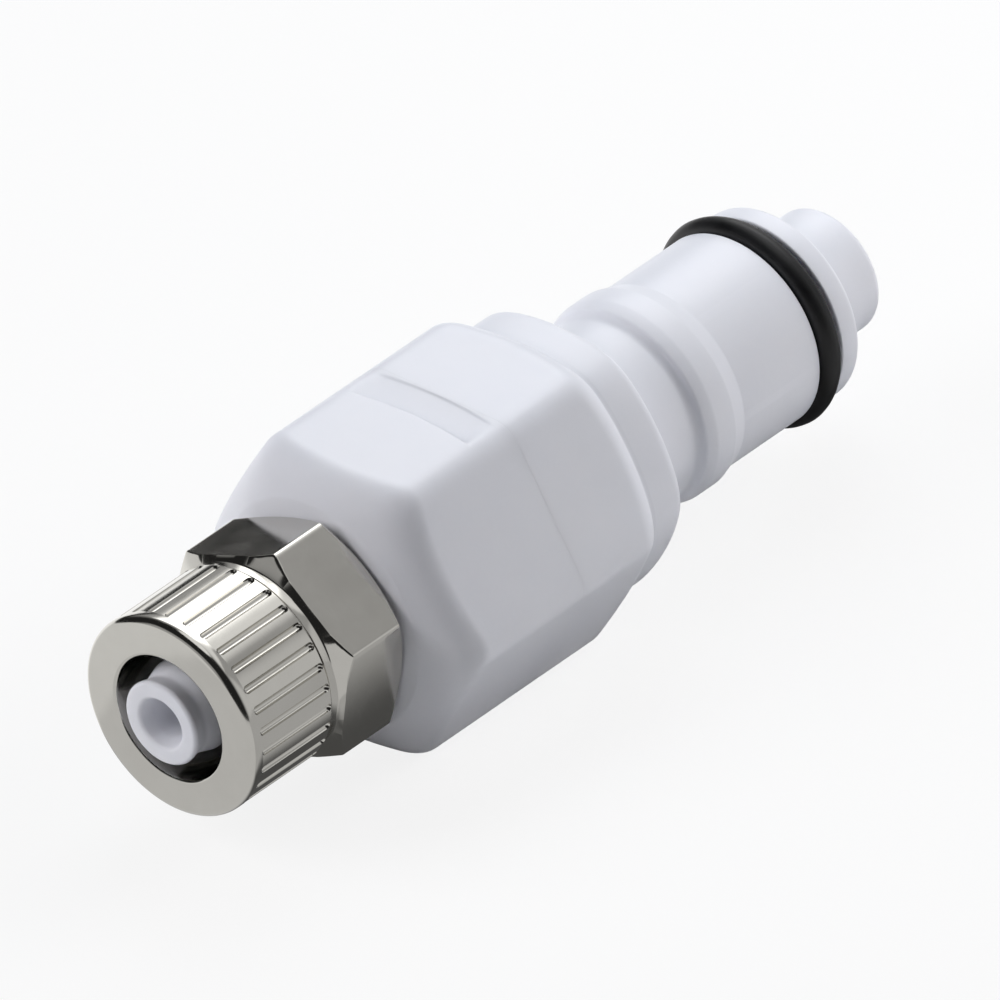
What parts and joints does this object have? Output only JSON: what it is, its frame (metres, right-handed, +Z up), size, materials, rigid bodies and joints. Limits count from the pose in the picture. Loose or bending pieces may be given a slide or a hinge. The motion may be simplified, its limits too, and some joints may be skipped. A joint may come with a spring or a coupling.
{
  "type": "plastic quick disconnect coupling insert",
  "caption": "Valved insert half of a white plastic quick disconnect coupling, with a hexagonal body, an O-ring nose and a fluted metal compression nut for plastic tube.",
  "frame": {"origin": "on the coupling's axis at the nose face, where the nose's front edge ends", "axes": "+X along the axis towards the nose and the valve's tip, +Z up, square to the flat that faces up while the opposite flat rests on the bench"},
  "size_m": [0.0505, 0.0182, 0.0158],
  "materials": {
    "white_acetal": "satin",
    "nickel_plate": "satin",
    "black_rubber": "satin",
    "spring_steel": "satin"
  },
  "bodies": {
    "body": {"insert_housing": "white_acetal", "tube_adapter": "white_acetal", "nose_o_ring": "black_rubber", "spring_guide": "white_acetal", "valve_spring": "spring_steel"},
    "valve": {"valve_poppet": "white_acetal", "poppet_seal": "black_rubber"},
    "nut": {"compression_nut": "nickel_plate"}
  },
  "joints": [
    {"name": "valve_slide", "type": "slide", "parent": "body", "child": "valve", "axis": [-1, 0, 0], "range_m": [0, 0.0036], "stiffness_N_per_m": 480, "springref_m": -0.0044, "deforming": ["valve_spring"]},
    {"name": "nut_turn", "type": "hinge", "parent": "body", "child": "nut", "pos_m": [-0.038, 0, 0], "axis": [1, 0, 0], "continuous": true}
  ]
}
